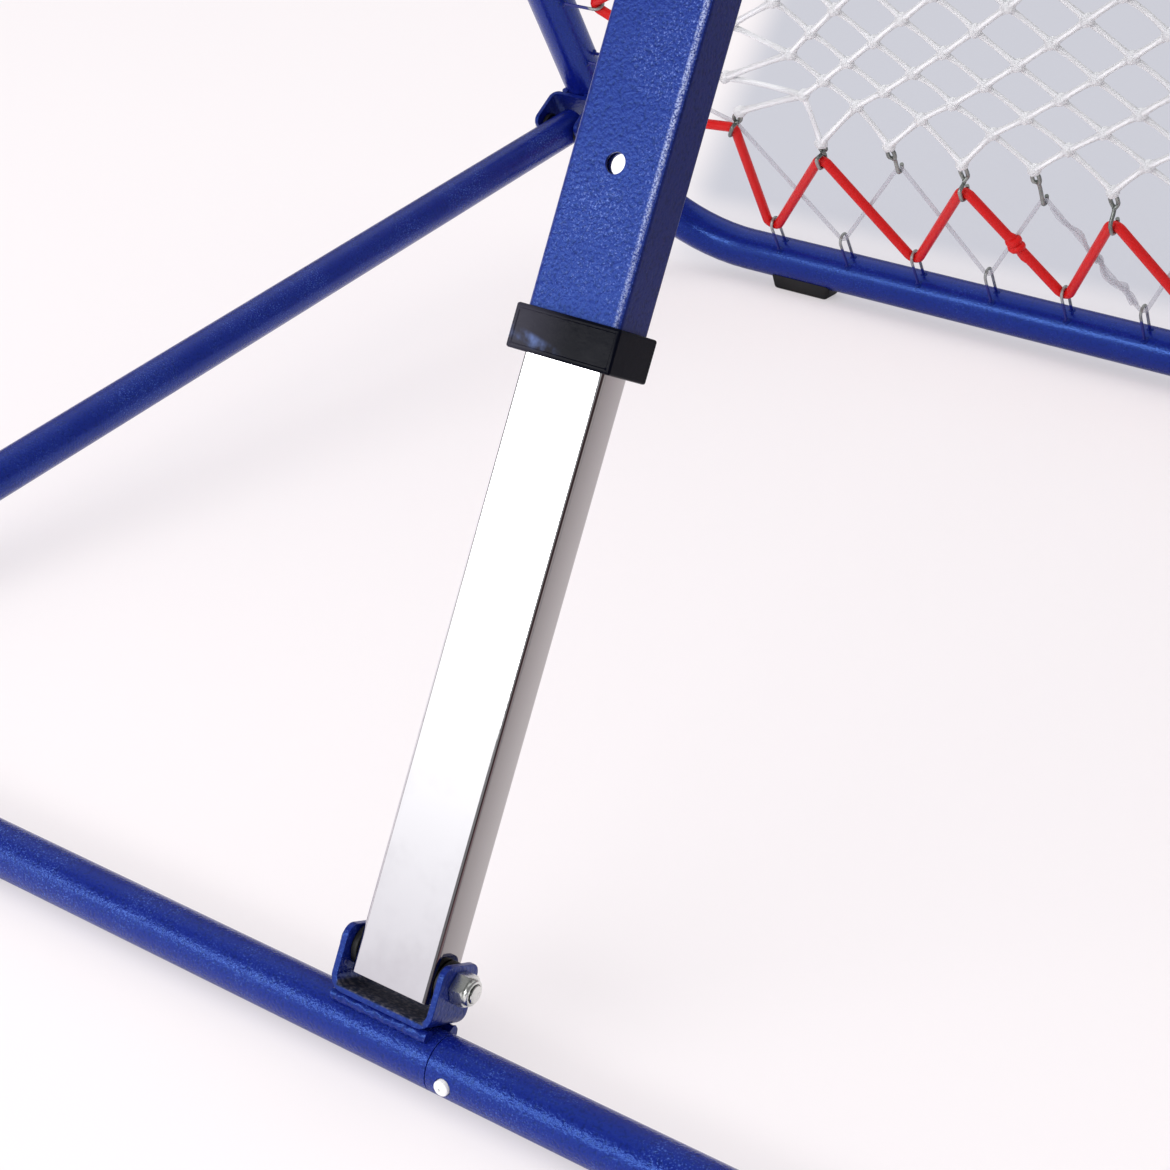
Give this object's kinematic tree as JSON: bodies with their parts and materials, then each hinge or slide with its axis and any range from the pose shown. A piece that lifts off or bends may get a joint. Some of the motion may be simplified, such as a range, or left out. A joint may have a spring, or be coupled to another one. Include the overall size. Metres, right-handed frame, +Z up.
{
  "type": "tchoukball rebounder",
  "caption": "Square tubular rebound frame with a sprung net on elastic cords, hinged on a U-shaped tube base and leaned back on a telescopic strut with a push-button lock.",
  "frame": {"origin": "on the floor, under the middle of the whole rebounder", "axes": "+X along the rear crossbar, +Y from the crossbar towards the net frame's bottom rail, +Z up"},
  "size_m": [1.0174, 0.9623, 0.8367],
  "materials": {
    "blue_paint": "satin powder coat",
    "chrome": "mirror chrome",
    "zinc": "bright zinc plate",
    "spring_steel": "plain spring steel",
    "button_metal": "pale plated metal",
    "black_plastic": "moulded gloss",
    "black_rubber": "matt",
    "red_elastic": "smooth elastic cord",
    "white_elastic": "pale elastic cord",
    "net_cord": "knotted white cord with plated hooks"
  },
  "bodies": {
    "base": {"base_left_tube": "blue_paint", "base_right_tube": "blue_paint", "base_splice_sleeve": "zinc", "base_splice_spring": "spring_steel", "foot_bracket": "blue_paint", "foot_bolt": "zinc", "foot_nut": "zinc", "foot_spacer_left": "black_plastic", "foot_spacer_right": "black_plastic"},
    "base_button": {"base_splice_button": "button_metal"},
    "net_frame": {"frame_left_tube": "blue_paint", "frame_right_tube": "blue_paint", "frame_top_splice_sleeve": "zinc", "frame_bottom_splice_sleeve": "zinc", "frame_top_splice_spring": "spring_steel", "frame_bottom_splice_spring": "spring_steel", "left_hinge_bracket": "blue_paint", "right_hinge_bracket": "blue_paint", "left_hinge_bolt": "zinc", "right_hinge_bolt": "zinc", "left_hinge_nut": "zinc", "right_hinge_nut": "zinc", "left_hinge_spacer_left": "black_plastic", "left_hinge_spacer_right": "black_plastic", "right_hinge_spacer_left": "black_plastic", "right_hinge_spacer_right": "black_plastic", "left_rubber_foot": "black_rubber", "right_rubber_foot": "black_rubber", "top_bracket": "blue_paint", "top_bolt": "zinc", "top_nut": "zinc", "top_spacer_left": "black_plastic", "top_spacer_right": "black_plastic", "net": "net_cord", "red_elastic": "red_elastic", "white_elastic": "white_elastic"},
    "frame_top_button": {"frame_top_splice_button": "button_metal"},
    "frame_bottom_button": {"frame_bottom_splice_button": "button_metal"},
    "strut_inner": {"strut_inner_tube": "chrome", "strut_glide": "black_plastic", "strut_button_spring": "spring_steel"},
    "strut_lock_button": {"strut_button": "button_metal"},
    "strut_outer": {"strut_outer_tube": "blue_paint", "strut_collar": "black_plastic"}
  },
  "joints": [
    {"name": "net_tilt", "type": "hinge", "parent": "base", "child": "net_frame", "pos_m": [0, 0.34693, 0.1274], "axis": [1, 0, 0], "range_deg": [-6.7, 6.5]},
    {"name": "strut_swing", "type": "hinge", "parent": "base", "child": "strut_inner", "pos_m": [0, -0.45261, 0.04168], "axis": [1, 0, 0], "range_deg": [-3.5, 3.5]},
    {"name": "strut_extend", "type": "slide", "parent": "strut_inner", "child": "strut_outer", "axis": [0, 0.4285, 0.9035], "range_m": [-0.08, 0.082], "deforming": ["strut_button", "strut_button_spring"]},
    {"name": "base_button_press", "type": "slide", "parent": "base", "child": "base_button", "axis": [0, 1, 0], "range_m": [0, 0.004], "stiffness_N_per_m": 1500, "deforming": ["base_splice_spring"]},
    {"name": "frame_top_button_press", "type": "slide", "parent": "net_frame", "child": "frame_top_button", "axis": [0, -0.8241, -0.5664], "range_m": [0, 0.004], "stiffness_N_per_m": 1500, "deforming": ["frame_top_splice_spring"]},
    {"name": "frame_bottom_button_press", "type": "slide", "parent": "net_frame", "child": "frame_bottom_button", "axis": [0, -0.5664, 0.8241], "range_m": [0, 0.004], "stiffness_N_per_m": 1500, "deforming": ["frame_bottom_splice_spring"]},
    {"name": "strut_button_press", "type": "slide", "parent": "strut_inner", "child": "strut_lock_button", "axis": [0, 0.9035, -0.4285], "range_m": [0, 0.0048], "stiffness_N_per_m": 1500, "deforming": ["strut_button_spring"]}
  ],
  "couplings": [
    {"joint": "strut_swing", "follows": "net_tilt", "ratio": 0.4935},
    {"joint": "strut_extend", "follows": "net_tilt", "m_per_rad": -0.685}
  ]
}
